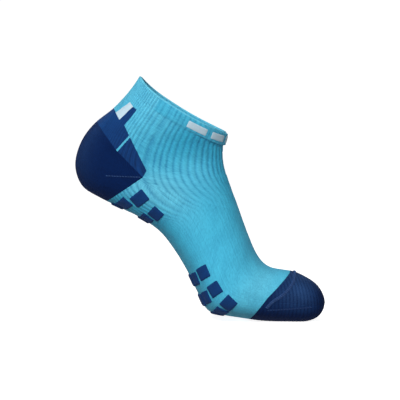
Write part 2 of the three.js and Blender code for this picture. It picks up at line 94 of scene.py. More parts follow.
def addCamera(settings):
    data = bpy.data.cameras.new("view")
    data.lens = settings["lens"]
    data.sensor_width = settings["sensor"]
    camera = newObject("view", data)
    reach = settings["frameWidth"] * settings["lens"] / settings["sensor"]
    lift = math.radians(settings["elevation"])
    away = Vector((0.0, -math.cos(lift), math.sin(lift)))
    camera.location = Vector(settings["target"]) + away * reach
    camera.rotation_euler = (-away).to_track_quat("-Z", "Y").to_euler()
    bpy.context.scene.camera = camera


def addLight(name, settings, target):
    data = bpy.data.lights.new(name, "AREA")
    data.size = settings["size"]
    data.energy = settings["power"]
    light = newObject(name, data)
    light.location = settings["at"]
    light.rotation_euler = (Vector(target) - light.location).to_track_quat("-Z", "Y").to_euler()


def addFloor(settings):
    mesh = bpy.data.meshes.new("floor")
    half, near, rise, wall = (settings[key] for key in ("half", "near", "rise", "wall"))
    back = half + rise
    corners = [(-half, near, 0), (half, near, 0), (half, half, 0), (-half, half, 0),
               (half, back, rise), (-half, back, rise), (half, back, wall), (-half, back, wall)]
    mesh.from_pydata(corners, [], [(0, 1, 2, 3), (3, 2, 4, 5), (5, 4, 6, 7)])
    floor = newObject("floor", mesh)
    material = bpy.data.materials.new("paleFloor")
    material.use_nodes = True
    setInputs(material.node_tree.nodes["Principled BSDF"], settings["surface"])
    mesh.materials.append(material)
    floor.visible_diffuse = False  # the pale floor does not light the underside


def addWorld(settings):
    world = bpy.data.worlds.new("studio")
    world.use_nodes = True
    nodes, links = world.node_tree.nodes, world.node_tree.links
    nodes.clear()
    out = nodes.new("ShaderNodeOutputWorld")
    mix = nodes.new("ShaderNodeMixShader")
    path = nodes.new("ShaderNodeLightPath")
    links.new(path.outputs["Is Camera Ray"], mix.inputs["Fac"])
    for socket, label in ((1, "lit"), (2, "seen")):
        glow = nodes.new("ShaderNodeBackground")
        setInputs(glow, settings[label])
        links.new(glow.outputs[0], mix.inputs[socket])
    links.new(mix.outputs[0], out.inputs["Surface"])
    bpy.context.scene.world = world


addCamera(viewSettings)
for lightName, lightValues in lightSettings.items():
    addLight(lightName, lightValues, viewSettings["target"])
addFloor(floorSettings)
addWorld(worldSettings)
bpy.context.scene.view_settings.view_transform = "Standard"
print("camera and light set")

# stations of the knit from the toe tip to the collar: top x, top z, sole x, sole z, half width, shift, mm
stations = np.array([
    (68, 15, 68, 15, 0, -13),
    (66.9, 20, 66.3, 9, 13, -12),
    (63.2, 26.8, 61.4, 3, 22, -11),
    (56.8, 32.4, 52, -0.4, 29.5, -8.5),
    (45.6, 38, 36, -0.8, 36, -5),
    (37.6, 39.6, 17.6, -0.2, 41, -2.5),
    (26.4, 41.4, 0, 2.2, 44.5, -1),
    (19.2, 45.4, -14.4, 4.6, 46, -0.5),
    (12.8, 54, -26.4, 8.6, 45, 0),
    (7.2, 66.8, -34.6, 23.6, 42, 0),
    (2.4, 79.6, -42.4, 39.6, 38, 0),
    (-2.4, 93.2, -52, 55.6, 35.5, 0),
    (-7.2, 106, -62.4, 69.2, 34, 0),
    (-10.6, 115.6, -74.4, 78.8, 33, 0),
    (-12.9, 122.8, -93.6, 89.2, 32.5, 0),
    (-13.7, 127.6, -112, 98, 32, 0),
    (-14, 130.8, -126.4, 107.6, 32, 0),
    (-14, 133.4, -132, 123.6, 32.5, 0),
    (-13.9, 136, -128, 141.2, 33.5, 0),
    (-13.8, 139.2, -117.6, 156.4, 34.5, 0),
    (-13, 143.5, -100.8, 170, 36, 0),
    (-12, 147.5, -88.8, 182.8, 37, 0),
    (-11.4, 150, -80.4, 194.6, 37.5, 0),
], float)
lastStation = len(stations) - 1
shape = {"widest": 0.45, "soleFlat": 0.62, "sideFull": 0.9, "collarDip": 4.5, "heelStation": 17}
# the overall sizes that the stations are drawn at, each read off the pieces that reach them, mm
drawnReach = {"length": 199.78, "width": 92.01, "height": 194.6}
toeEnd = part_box("toe_pocket_upper")[1][0]
heelEnd = min(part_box("heel_pocket_lower")[0][0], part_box("heel_pocket_upper")[0][0])
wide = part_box("forefoot_upper")
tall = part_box("heel_tab")[1][2]
stretch = np.array([(toeEnd - heelEnd) / mm / drawnReach["length"],
                    (wide[1][1] - wide[0][1]) / mm / drawnReach["width"],
                    tall / mm / drawnReach["height"]])
print("stretch", stretch.round(4))


def smooth(low, high, value):
    share = np.clip((value - low) / (high - low), 0, 1)
    return share * share * (3 - 2 * share)


def through(values, t):
    padded = np.vstack([2 * values[0] - values[1], values, 2 * values[-1] - values[-2]])
    place = np.clip(np.floor(t).astype(int), 0, len(values) - 2)
    share = (t - place)[..., None]
    a, b, c, d = (padded[place + step] for step in range(4))
    return 0.5 * (2 * b + (c - a) * share + (2 * a - 5 * b + 4 * c - d) * share ** 2
                  + (3 * b - a - 3 * c + d) * share ** 3)


def surfacePoint(t, angle):
    t = np.clip(t, 0, lastStation)
    topX, topZ, soleX, soleZ, half, shift = np.moveaxis(through(stations, t), -1, 0)
    up = np.cos(angle)
    level = np.where(up >= 0, shape["widest"] + (1 - shape["widest"]) * up,
                     shape["widest"] * (1 - np.abs(up) ** shape["soleFlat"]))
    x = soleX + (topX - soleX) * level
    z = soleZ + (topZ - soleZ) * level
    turn = np.sin(angle)
    y = shift - half * np.sign(turn) * np.abs(turn) ** shape["sideFull"]
    dip = shape["collarDip"] * smooth(shape["heelStation"], lastStation, t) * turn ** 2
    acrossX, acrossZ = topX - soleX, topZ - soleZ
    reach = np.maximum(np.hypot(acrossX, acrossZ), 1e-6)
    x = x + dip * acrossZ / reach
    z = z - dip * acrossX / reach
    return np.stack([x, y, z], -1) * stretch


def unit(vectors):
    return vectors / np.maximum(np.linalg.norm(vectors, axis=-1, keepdims=True), 1e-12)


def surfaceNormal(t, angle):
    along = surfacePoint(np.minimum(t + 0.04, lastStation), angle) - surfacePoint(
        np.maximum(t - 0.04, 0.02), angle)
    around = surfacePoint(t, angle + 0.03) - surfacePoint(t, angle - 0.03)
    normal = unit(np.cross(along, around))
    return np.where((t < 0.05)[..., None], np.array([1.0, 0, 0]), normal)


def lifted(t, angle, height):
    t, angle = np.broadcast_arrays(np.asarray(t, float), np.asarray(angle, float))
    return surfacePoint(t, angle) + surfaceNormal(t, angle) * np.asarray(height)[..., None]


# Station and angle of places given in side view, by halving between the chords of the stations.
def locateAll(x, z, chords):
    x, z = x / stretch[0], z / stretch[2]
    low, high = np.full(len(x), 0.5), np.full(len(x), float(lastStation))
    for halving in range(30):
        middle = (low + high) / 2
        topX, topZ, soleX, soleZ = np.moveaxis(through(chords, middle)[..., :4], -1, 0)
        ahead = (topX - soleX) * (z - soleZ) - (topZ - soleZ) * (x - soleX) > 0
        low, high = np.where(ahead, middle, low), np.where(ahead, high, middle)
    topX, topZ, soleX, soleZ = np.moveaxis(through(chords, low)[..., :4], -1, 0)
    share = (x - soleX) * (topX - soleX) + (z - soleZ) * (topZ - soleZ)
    level = np.clip(share / ((topX - soleX) ** 2 + (topZ - soleZ) ** 2), 0, 1)
    upper = np.arccos(np.clip((level - shape["widest"]) / (1 - shape["widest"]), 0, 1))
    lower = math.pi - np.arccos(np.clip(1 - level / shape["widest"], 0, 1) ** (1 / shape["soleFlat"]))
    return low, np.where(level >= shape["widest"], upper, lower)


def locate(point):
    t, angle = locateAll(np.array([point[0]]), np.array([point[1]]), stations)
    return t[0], angle[0]


# borders between the knitted areas, in side view, mm
def side(x, z):
    return np.array([x * stretch[0], z * stretch[2]])


def towards(start, end, distance):
    return start + (end - start) * distance / np.linalg.norm(end - start)


def extend(start, end, distance):
    return towards(end, start, -distance)


spliceBack = side(-100.8, 170)
blockLow = side(-96, 161.4)
blockHigh = side(-85.2, 171.9)
blockBack = side(-99.2, 166.8)
blockTop = side(-87.6, 175.4)
barFront = side(-82.2, 169.4)
barLow = side(-92, 157.2)
spliceFront = side(-88.2, 149.2)
heelTop = side(-113.4, 158)
heelMiddle = side(-98.6, 137.6)
wingTip = side(-77.4, 115.8)
wingFront = side(-74.4, 121)
heelLow = side(-106.4, 95.9)
toeTop = side(39, 38)
toeMiddle = side(21.5, 20.8)
toeLow = side(7.4, 2.4)
dividerWidth = 1.7
wingBack = towards(heelMiddle, wingTip, dividerWidth)
wingTop = towards(spliceFront, wingFront, dividerWidth)
shortRun, longRun = 30.0, 40.0  # how far borders run on past the edge of the sock
heelLowOut = extend(wingTip, heelLow, shortRun)
heelTopOut = extend(heelMiddle, heelTop, longRun)
spliceBackOut = extend(blockLow, spliceBack, longRun)
toeTopOut = extend(toeMiddle, toeTop, shortRun)
toeLowOut = extend(toeMiddle, toeLow, shortRun)
far = 400.0
areas = {
    "toe_pocket": [toeTopOut, toeTop, toeMiddle, toeLow, toeLowOut, (far, -far), (far, far)],
    "heel_pocket": [heelTopOut, heelTop, heelMiddle, wingTip, heelLow, heelLowOut,
                    (-far, -far), (-far, heelTopOut[1])],
    "high_splice": [spliceBackOut, spliceBack, blockLow, barLow, spliceFront, heelMiddle,
                    heelTop, heelTopOut],
    "splice_line": [spliceFront, wingTop, wingBack, heelMiddle],
    "splice_wing": [wingTop, wingFront, wingTip, wingBack],
    "tab_bar": [blockLow, barLow, barFront, blockHigh],
    "tab_block": [blockLow, blockHigh, blockTop, blockBack],
}
ankleLean = np.array([0.3, 0.95])  # direction in which the knit gives at the ankle
ankleStart, ankleEnd = 83.0, 128.0
ballLean = np.array([0.66, -0.75])
forefootSplit = -30.0  # where the two foot pieces meet, along ballLean


def pointAlong(lean, value):
    return lean * value / lean.dot(lean)


def acrossLine(lean, value, reach):
    middle = pointAlong(lean, value)
    turned = np.array([-lean[1], lean[0]])
    return middle - turned * reach, middle + turned * reach


borders = []
for name, outline in areas.items():
    for here, after in zip(outline, outline[1:] + outline[:1]):
        if max(abs(here[0]), abs(after[0]), abs(here[1]), abs(after[1])) < far - 1:
            borders.append((np.array(here), np.array(after)))
for lean, value in ((ankleLean, ankleStart), (ballLean, forefootSplit)):
    borders.append(acrossLine(lean, value, shortRun + longRun))


def inside(outline, x, z):
    found = np.zeros(x.shape, bool)
    for (x1, z1), (x2, z2) in zip(outline, list(outline[1:]) + [outline[0]]):
        crosses = (z1 > z) != (z2 > z)
        if z1 != z2:
            found ^= crosses & (x < (x2 - x1) * (z - z1) / (z2 - z1) + x1)
    return found


# fine grid over the whole surface, cut along the borders
gridSettings = {
    "columns": 600,
    "rowStep": 1.0,
    "needles": 168,  # stitches round the sock
    "course": 0.9,  # height of a stitch
    "fine": 2201,
    "ring": 24,
    "searchWide": 3.0,  # how far from a border a face may be to be cut by it
    "searchClose": 1.6,
}


def rowPlaces(settings):
    fine = np.linspace(0, lastStation, settings["fine"])
    ring = np.linspace(-math.pi, math.pi, settings["ring"], endpoint=False)
    points = surfacePoint(fine[:, None], ring[None, :])
    walked = np.linalg.norm(np.diff(points, axis=0), axis=-1).mean(1)
    length = np.concatenate([[0], np.cumsum(walked)])
    count = int(length[-1] / settings["rowStep"])
    return np.interp(np.linspace(0, length[-1], count + 1), length, fine)


rowT = rowPlaces(gridSettings)
columnAngle = np.linspace(-math.pi, math.pi, gridSettings["columns"] + 1)
gridT, gridAngle = np.meshgrid(rowT, columnAngle, indexing="ij")
gridPoint = surfacePoint(gridT, gridAngle)
steps = np.linalg.norm(np.diff(gridPoint, axis=0), axis=-1)
gridLength = np.vstack([np.zeros((1, len(columnAngle))), np.cumsum(steps, axis=0)])
print("grid", gridT.shape)


def lengthAt(t, angle):
    row = np.interp(t, rowT, np.arange(len(rowT)))
    column = (angle + math.pi) / (2 * math.pi) * gridSettings["columns"]
    low = np.clip(np.floor(row).astype(int), 0, len(rowT) - 2)
    left = np.clip(np.floor(column).astype(int), 0, gridSettings["columns"] - 1)
    down, over = row - low, column - left
    return ((gridLength[low, left] * (1 - over) + gridLength[low, left + 1] * over) * (1 - down)
            + (gridLength[low + 1, left] * (1 - over) + gridLength[low + 1, left + 1] * over) * down)


def cutGrid():
    rows, columns = gridT.shape
    index = np.arange(rows * columns).reshape(rows, columns)
    faces = np.stack([index[:-1, :-1], index[:-1, 1:], index[1:, 1:], index[1:, :-1]], -1)
    mesh = bpy.data.meshes.new("grid")
    mesh.from_pydata(gridPoint.reshape(-1, 3), [], faces.reshape(-1, 4).tolist())
    for label, values in (("stationT", gridT), ("angleA", gridAngle)):
        layer = mesh.attributes.new(label, "FLOAT", "POINT")
        layer.data.foreach_set("value", values.astype(np.float32).ravel())
    bm = bmesh.new()
    bm.from_mesh(mesh)
    bm.faces.ensure_lookup_table()
    centres = gridPoint.reshape(-1, 3)[faces.reshape(-1, 4)].mean(1)[:, [0, 2]]
    close = np.zeros(len(centres), bool)
    for start, end in borders:
        close |= nearSegment(centres, start, end, gridSettings["searchWide"])
    candidates = [bm.faces[int(place)] for place in np.nonzero(close)[0]]
    for start, end in borders:
        spot = np.array([face.calc_center_median()[:] for face in candidates])[:, [0, 2]]
        near = nearSegment(spot, start, end, gridSettings["searchClose"])
        chosen = [candidates[int(place)] for place in np.nonzero(near)[0]]
        if not chosen:
            continue
        along = end - start
        parts = set(chosen)
        parts.update(edge for face in chosen for edge in face.edges)
        parts.update(vert for face in chosen for vert in face.verts)
        cut = bmesh.ops.bisect_plane(bm, geom=list(parts), dist=1e-4, plane_co=(start[0], 0, start[1]),
                                     plane_no=(-along[1], 0, along[0]))
        fresh = {part for part in cut["geom"] if isinstance(part, bmesh.types.BMFace)}
        candidates = [face for face in candidates if face.is_valid]
        candidates += list(fresh.difference(candidates))
    bm.to_mesh(mesh)
    bm.free()
    return mesh


def nearSegment(points, start, end, reach):
    along = end - start
    length = np.linalg.norm(along)
    along = along / length
    offset = points - start
    run = offset @ along
    aside = np.abs(offset[:, 0] * -along[1] + offset[:, 1] * along[0])
    return (run > -reach * 0.6) & (run < length + reach * 0.6) & (aside < reach)


def readGrid(mesh):
    count = len(mesh.vertices)
    points = np.empty(count * 3)
    mesh.vertices.foreach_get("co", points)
    values = {}
    for label in ("stationT", "angleA"):
        data = np.empty(count, np.float32)
        mesh.attributes[label].data.foreach_get("value", data)
        values[label] = data.astype(float)
    starts = np.empty(len(mesh.polygons), int)
    totals = np.empty(len(mesh.polygons), int)
    mesh.polygons.foreach_get("loop_start", starts)
    mesh.polygons.foreach_get("loop_total", totals)
    corners = np.empty(len(mesh.loops), int)
    mesh.loops.foreach_get("vertex_index", corners)
    points = points.reshape(-1, 3)
    sums = np.add.reduceat(points[corners], starts, axis=0)
    centres = sums / totals[:, None]
    return {"points": points, "t": values["stationT"], "angle": values["angleA"], "starts": starts,
            "totals": totals, "corners": corners, "centres": centres}


cutMesh = cutGrid()
cut = readGrid(cutMesh)
bpy.data.meshes.remove(cutMesh)
print("cut into", len(cut["starts"]), "faces")

centreX, centreZ = cut["centres"][:, 0], cut["centres"][:, 2]
zone = np.full(len(centreX), "leg", dtype="U16")
zone[ankleLean[0] * centreX + ankleLean[1] * centreZ < ankleStart] = "foot"
frontHalf = (ballLean[0] * centreX + ballLean[1] * centreZ > forefootSplit) & (zone == "foot")
zone[frontHalf] = "forefoot"
for name, outline in areas.items():
    zone[inside(outline, centreX, centreZ)] = name


# relief: ribs, courses and the soft thickness of the yarn
ribSettings = {
    "count": 70,  # ribs round the leg
    "frontPitch": 1.6,  # width of the front ribs against the others
    "frontReach": 72.0,  # degrees
    "frontBlend": 25.0,
    "depth": 0.5,
    "fade": (10.8, 14.4),  # stations over which the ribs fade down the foot
    "footShare": 0.16,  # what is left of them on the foot
    "footFade": (5, 8),
    "steadyBelow": 9,  # station below which they keep the plain angle
    "underside": (125, 150),  # degrees over which they die out below the heel
    "heelEnd": (15.5, 17.5),
}
wallSettings = {"plain": 2.0, "cushion": 0.6, "ground": 0.05, "innerGround": 1.6}
toeRing = 3.0  # from one thick course of the toe to the next
# chords of an ankle without a heel, which is knitted separately: the ribs pass it by
passHeel = [(-7.2, 106, -62.4, 69.2), (-9, 110.5, -80, 74), (-10.3, 114.5, -98, 82), (-11.2, 117.7, -112, 93),
            (-12, 120.5, -120, 106), (-12.6, 123.5, -122, 120), (-13.1, 127, -119, 134),
            (-13.6, 131.5, -113, 148), (-14, 137, -104, 162), (-13.3, 143, -92, 178)]
ankleStations = stations.copy()
ankleStations[12:22, :4] = passHeel
passAngle = locateAll(cut["points"][:, 0], cut["points"][:, 2], ankleStations)[1]
passAngle = np.where(cut["angle"] < 0, -passAngle, passAngle)
ribColumns = np.where(cut["t"] < ribSettings["steadyBelow"], cut["angle"], passAngle)


def wave(turns):
    return np.cos(2 * math.pi * turns)


def waleAt(angle):
    return angle * gridSettings["needles"] / (2 * math.pi)


def ribPhase(angle):
    ring = np.linspace(-math.pi, math.pi, 1441)
    reach, blend = ribSettings["frontReach"], ribSettings["frontBlend"]
    wide = 1 - smooth(reach - blend, reach + blend, np.abs(np.degrees(ring)))
    density = 1 / (1 + (ribSettings["frontPitch"] - 1) * wide)
    total = np.concatenate([[0], np.cumsum((density[1:] + density[:-1]) / 2)])
    return np.interp(angle, ring, total / total[-1]) * ribSettings["count"]


def ribFade(t):
    share = ribSettings["footShare"] * smooth(*ribSettings["footFade"], t)
    return share + (1 - share) * smooth(*ribSettings["fade"], t)


def ribHeight(t, angle):
    crest = (0.5 + 0.5 * wave(ribPhase(angle))) ** 0.6
    under = smooth(*ribSettings["underside"], np.abs(np.degrees(angle)))
    heel = 1 - smooth(*ribSettings["heelEnd"], t)
    return ribSettings["depth"] * (crest - 0.5) * ribFade(t) * (1 - under * heel)


def footHeight(t, angle, column):
    wale, course = waleAt(angle), lengthAt(t, angle) / gridSettings["course"]
    grain = 0.035 * wave(wale / 2) + 0.03 * wave(wale / 4 + course / 12)
    return ribHeight(t, column) + grain * smooth(0.6, 2.5, t)


def toeHeight(t, angle, column):
    ring = wave(lengthAt(t, angle) / toeRing)
    return (0.1 * ring + 0.03 * np.cos(84 * angle)) * smooth(0.5, 1.5, t)


def heelHeight(t, angle, column):
    return 0.05 * wave(waleAt(angle) / 2)


def spliceHeight(t, angle, column):
    return 0.6 * ribHeight(t, column)


def roomInside(t, angle):
    under = smooth(-0.2, 0.5, -np.cos(angle)) * (1 - smooth(18.5, 20, t))
    toeBox = 1 - smooth(4.5, 5.5, t)
    return wallSettings["plain"] + wallSettings["cushion"] * np.maximum(under, toeBox)


# How deep in a furrow each point lies, from 0 on a rib to 1; the colour is darkened by it as painted shade.
def ribGroove(t, angle, column):
    return np.clip(0.5 - 0.5 * wave(ribPhase(column)), 0, 1) ** 2.5 * ribFade(t)


# the same for the furrows between the thick courses of the toe, painted shade
def toeGroove(t, angle, column):
    return 0.8 * (0.5 - 0.5 * wave(lengthAt(t, angle) / toeRing)) ** 2 * smooth(0.3, 1.5, t)


def noGroove(t, angle, column):
    return np.zeros(len(t))


# pale patches of the sky knit, the first where the knit stretches over the ankle bone, the other two painted
# light at the front of the ankle and on top of the forefoot: strength, station, its spread, degrees from the
# front, their spread
stretchAndPaintedLightSpots = [(0.78, 14.5, 2.6, 92, 26), (0.35, 14.5, 3, 50, 22), (0.42, 6.2, 1.6, 60, 50)]


# The pale mask of the sky knit: partly the knit stretching over the ankle bone, partly painted light.
def skyStretchAndPaintedLight(t, angle):
    degrees = np.abs(np.degrees(angle))
    # painted light: a paler band round the collar and up the back of the leg to the tab
    tone = 0.12 * smooth(19.5, 21.5, t) + 0.5 * smooth(16.5, 19.5, t) * smooth(60, 110, degrees)
    tone = tone + 0.2 * (1 - smooth(9, 13, t))
    for strength, row, rowSpread, aside, spread in stretchAndPaintedLightSpots:
        tone = tone + strength * np.exp(-((t - row) / rowSpread) ** 2 - ((degrees - aside) / spread) ** 2)
    return np.clip(tone, 0, 1)


# Painted light on the dark and navy knit: a highlight along the back of the heel and the leg above it, and a
# lit patch on top of the toe.
def darkPaintedLight(t, angle):
    degrees = np.abs(np.degrees(angle))
    # painted highlight along the back of the heel and up the back of the leg
    ridgeHighlight = 0.3 * np.exp(-((degrees - 150) / 22) ** 2) * smooth(15, 18, t)
    # painted light on top of the toe, near the seam
    toeTopLight = 0.9 * np.exp(-((t - 3.8) / 1.5) ** 2) * (1 - smooth(70, 120, degrees))
    return np.clip(ridgeHighlight + toeTopLight, 0, 1)


# materials
def mathIn(tree):
    def calc(operation, *values):
        node = tree.nodes.new("ShaderNodeMath")
        node.operation = operation
        for place, value in enumerate(values):
            if isinstance(value, (int, float)):
                node.inputs[place].default_value = value
            else:
                tree.links.new(value, node.inputs[place])
        return node.outputs[0]
    return calc


# One V of yarn per unit of the map: height of the strand, and how deep the gap beside it is.
def addStitchGroup():
    group = bpy.data.node_groups.new("knitStitch", "ShaderNodeTree")
    group.interface.new_socket("Map", in_out="INPUT", socket_type="NodeSocketVector")
    lean = group.interface.new_socket("Lean", in_out="INPUT", socket_type="NodeSocketFloat")
    lean.default_value = 1.1
    for label in ("Height", "Gap"):
        group.interface.new_socket(label, in_out="OUTPUT", socket_type="NodeSocketFloat")
    entry, out = group.nodes.new("NodeGroupInput"), group.nodes.new("NodeGroupOutput")
    calc = mathIn(group)
    apart = group.nodes.new("ShaderNodeSeparateXYZ")
    group.links.new(entry.outputs["Map"], apart.inputs[0])
    leg = calc("ABSOLUTE", calc("SUBTRACT", calc("FRACT", apart.outputs[0]), 0.5))
    slant = calc("MULTIPLY", leg, entry.outputs["Lean"])
    course = calc("FRACT", calc("ADD", apart.outputs[1], slant))
    along = calc("ABSOLUTE", calc("SUBTRACT", course, 0.5))
    across = calc("ABSOLUTE", calc("SUBTRACT", leg, 0.25))
    body = calc("SUBTRACT", 1.0, calc("POWER", calc("MULTIPLY", across, 4.0), 2.0))
    ends = calc("SUBTRACT", 1.0, calc("POWER", calc("MULTIPLY", along, 2.0), 3.0))
    height = calc("MULTIPLY", body, ends)
    group.links.new(height, out.inputs["Height"])
    group.links.new(calc("SUBTRACT", 1.0, height), out.inputs["Gap"])
    return group


stitchGroup = addStitchGroup()
plainYarn = {"gapShade": 0.35, "patchShade": 0.5, "grooveShade": 0.42, "heather": 0.9, "bump": 0.5,
             "specular": 0.2, "sheen": 0.05}


def addKnitMaterial(name, own):
    settings = {**plainYarn, **own}
    material = bpy.data.materials.new(name)
    material.use_nodes = True
    nodes, links = material.node_tree.nodes, material.node_tree.links
    calc = mathIn(material.node_tree)
    shader = nodes["Principled BSDF"]
    uv = nodes.new("ShaderNodeUVMap")
    uv.uv_map = "stitches"
    stitch = nodes.new("ShaderNodeGroup")
    stitch.node_tree = stitchGroup
    links.new(uv.outputs[0], stitch.inputs["Map"])

    def noise(scale, detail):
        node = nodes.new("ShaderNodeTexNoise")
        setInputs(node, {"Scale": scale, "Detail": detail})
        links.new(uv.outputs[0], node.inputs["Vector"])
        return node.outputs["Fac"]

    def mask(label):
        node = nodes.new("ShaderNodeAttribute")
        node.attribute_name = label
        return node.outputs["Fac"]

    def mixed(first, second, share):
        node = nodes.new("ShaderNodeMix")
        node.data_type = "RGBA"
        for label, value in (("A", first), ("B", second), ("Factor", share)):
            if isinstance(value, tuple):
                node.inputs[label].default_value = (*value, 1)
            else:
                links.new(value, node.inputs[label])
        return node.outputs["Result"]

    # painted shade: the colour darkens in the gaps between the loops and, by the groove mask, in the furrows;
    # the blotches added to it are the heathered yarn's own
    gap = calc("MULTIPLY", stitch.outputs["Gap"], settings["gapShade"])
    both = calc("MULTIPLY_ADD", noise(0.75, 2), settings["heather"], noise(0.09, 3))
    middle = 0.4 + settings["heather"] / 2  # keeps the blotches as pale as they are dark
    blotch = calc("MULTIPLY", calc("SUBTRACT", both, middle), settings["patchShade"])
    shade = calc("ADD", calc("MULTIPLY_ADD", mask("groove"), settings["grooveShade"], gap), blotch)
    shade.node.use_clamp = True
    # the pale colour is mixed in by the tone mask: the yarn's own paler places and painted light
    yarn = mixed(settings["colour"], settings["pale"], mask("tone"))
    links.new(mixed(yarn, settings["deep"], shade), shader.inputs["Base Color"])
    bump = nodes.new("ShaderNodeBump")
    setInputs(bump, {"Strength": settings["bump"], "Distance": 0.00022})
    links.new(calc("MULTIPLY_ADD", noise(2.2, 4), 0.35, stitch.outputs["Height"]), bump.inputs["Height"])
    links.new(bump.outputs[0], shader.inputs["Normal"])
    setInputs(shader, {"Roughness": 0.88, "Specular IOR Level": settings["specular"],
                       "Sheen Weight": settings["sheen"], "Sheen Roughness": 0.5,
                       "Sheen Tint": (*settings["pale"], 1)})
    return material


yarnSettings = {
    "skyKnit": {"colour": (0.036, 0.46, 0.68), "pale": (0.17, 0.62, 0.78), "deep": (0.010, 0.16, 0.34),
                "gapShade": 0.3, "patchShade": 0.6, "heather": 1.4, "grooveShade": 0.37},
    "navyKnit": {"colour": (0.004, 0.047, 0.195), "pale": (0.01, 0.08, 0.26), "deep": (0.0015, 0.018, 0.08),
                 "specular": 0.12, "sheen": 0.02, "gapShade": 0.55},
    "darkKnit": {"colour": (0.0015, 0.016, 0.088), "pale": (0.028, 0.082, 0.225),
                 "deep": (0.001, 0.006, 0.034), "specular": 0.05, "sheen": 0.0, "gapShade": 0.55},
    "blockKnit": {"colour": (0.0025, 0.04, 0.17), "pale": (0.006, 0.06, 0.22), "deep": (0.001, 0.014, 0.065),
                  "specular": 0.12, "sheen": 0.02, "gapShade": 0.5},
    "whiteKnit": {"colour": (0.50, 0.67, 0.76), "pale": (0.6, 0.73, 0.8), "deep": (0.30, 0.46, 0.58),
                  "gapShade": 0.45, "patchShade": 0.2},
    "seamYarn": {"colour": (0.006, 0.03, 0.12), "pale": (0.05, 0.12, 0.30), "deep": (0.003, 0.014, 0.07),
                 "sheen": 0.02, "gapShade": 0.4, "bump": 0.3},
    "elasticYarn": {"colour": (0.7, 0.72, 0.74), "pale": (0.8, 0.8, 0.8), "deep": (0.4, 0.42, 0.45)},
}
yarns = {name: addKnitMaterial(name, values) for name, values in yarnSettings.items()}
print("materials done")


def followAnkle(piece):
    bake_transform(piece)


def followBall(piece):
    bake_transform(piece)


def followCuff(piece):
    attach(piece, "cuff")


# Makes a piece of a mesh in mm, with its stitch map and masks, and hides the imported nodes it stands in for.
def addPiece(name, points, faces, uv, masks, material, follow, slot, *nodes):
    mesh = bpy.data.meshes.new(name)
    mesh.from_pydata((points * mm).tolist(), [], faces)
    layer = mesh.uv_layers.new(name="stitches")
    layer.data.foreach_set("uv", uv.astype(np.float32).ravel())
    for label, values in zip(("tone", "groove"), masks):
        attribute = mesh.attributes.new(label, "FLOAT", "POINT")
        attribute.data.foreach_set("value", np.broadcast_to(values, len(points)).astype(np.float32))
    mesh.materials.append(yarns[material])
    mesh.polygons.foreach_set("use_smooth", np.ones(len(faces), bool))
    mesh.set_sharp_from_angle(angle=math.radians(50))
    piece = newObject(name, mesh)
    follow(piece)
    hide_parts(*nodes)
    return mesh


# The same with the map given per point.
def addPlate(name, parts, masks, material, follow, slot, node):
    points, faces, uv = parts
    corners = np.concatenate([np.array(face) for face in faces])
    addPiece(name, points, faces, uv[corners], masks, material, follow, slot, node)


# Doubles a sheet inwards by the wall's own thickness and closes its rim.
def thicken(points, inner, faces):
    count = len(points)
    edges = dict.fromkeys(edge for face in faces for edge in zip(face, face[1:] + face[:1]))
    rim = [(here, after) for here, after in edges if (after, here) not in edges]
    back = [[corner + count for corner in reversed(face)] for face in faces]
    sides = [[after, here, here + count, after + count] for here, after in rim]
    return np.vstack([points, inner]), faces + back + sides


# One knitted area: its faces of the cut grid, raised by its relief and doubled into a wall.
def buildZone(name, chosen, settings, nodes):
    places = np.nonzero(chosen)[0]
    starts, totals = cut["starts"], cut["totals"]
    loops = np.concatenate([np.arange(starts[place], starts[place] + totals[place]) for place in places])
    used, raw = np.unique(cut["corners"][loops], return_inverse=True)
    t, angle, column = cut["t"][used], cut["angle"][used], ribColumns[used]
    normal = surfaceNormal(t, angle)
    outer = cut["points"][used] + normal * settings["relief"](t, angle, column)[:, None]
    inner = cut["points"][used] - normal * roomInside(t, angle)[:, None]
    outer[:, 2] = np.maximum(outer[:, 2], wallSettings["ground"])
    inner[:, 2] = np.maximum(inner[:, 2], wallSettings["innerGround"])
    # the columns at both ends of the grid are one line on the sock
    keys = np.round(cut["points"][used], 3)
    seam, tip = np.abs(np.abs(angle) - math.pi) < 1e-4, t < 1e-4
    merged, known = np.arange(len(used)), {}
    for place in np.nonzero(seam | tip)[0]:
        spot = (0, 0, 0) if tip[place] else tuple(keys[place])
        merged[place] = known.setdefault(spot, place)
    flat = merged[raw]
    length = lengthAt(t, angle)
    if settings["follow"] is followAnkle:  # the map starts at the collar
        length = lengthAt(np.full(len(t), float(lastStation)), angle) - length
    uv = np.stack([waleAt(angle), length / gridSettings["course"]], -1)
    faces, uvs, cursor = [], [], 0
    for total in totals[places]:
        ring = flat[cursor:cursor + total].tolist()
        spots = raw[cursor:cursor + total]
        cursor += total
        kept = [corner for corner in reversed(range(total)) if ring[corner] != ring[corner - 1]]
        if len(kept) > 2:
            faces.append([ring[corner] for corner in kept])
            uvs.append(uv[spots[kept]])
    points, allFaces = thicken(outer, inner, faces)
    alive = np.unique(np.concatenate([np.array(face) for face in allFaces]))
    fresh = np.full(len(points), -1)
    fresh[alive] = np.arange(len(alive))
    allFaces = [fresh[face].tolist() for face in allFaces]
    fullUv = np.vstack([uv, uv])[alive]
    maps = uvs + [spots[::-1] for spots in uvs] + [fullUv[face] for face in allFaces[2 * len(uvs):]]
    masks = [np.tile(values, 2)[alive] for values in (settings["tone"](t, angle),
                                                      settings["groove"](t, angle, column))]
    mesh = addPiece(name, points[alive], allFaces, np.concatenate(maps), masks, settings["yarn"],
                    settings["follow"], settings["slot"], *nodes)
    area = sum(polygon.area for polygon in list(mesh.polygons)[:len(uvs)])
    print(name, len(mesh.polygons), "faces", round(area * 1e4, 1), "cm2")


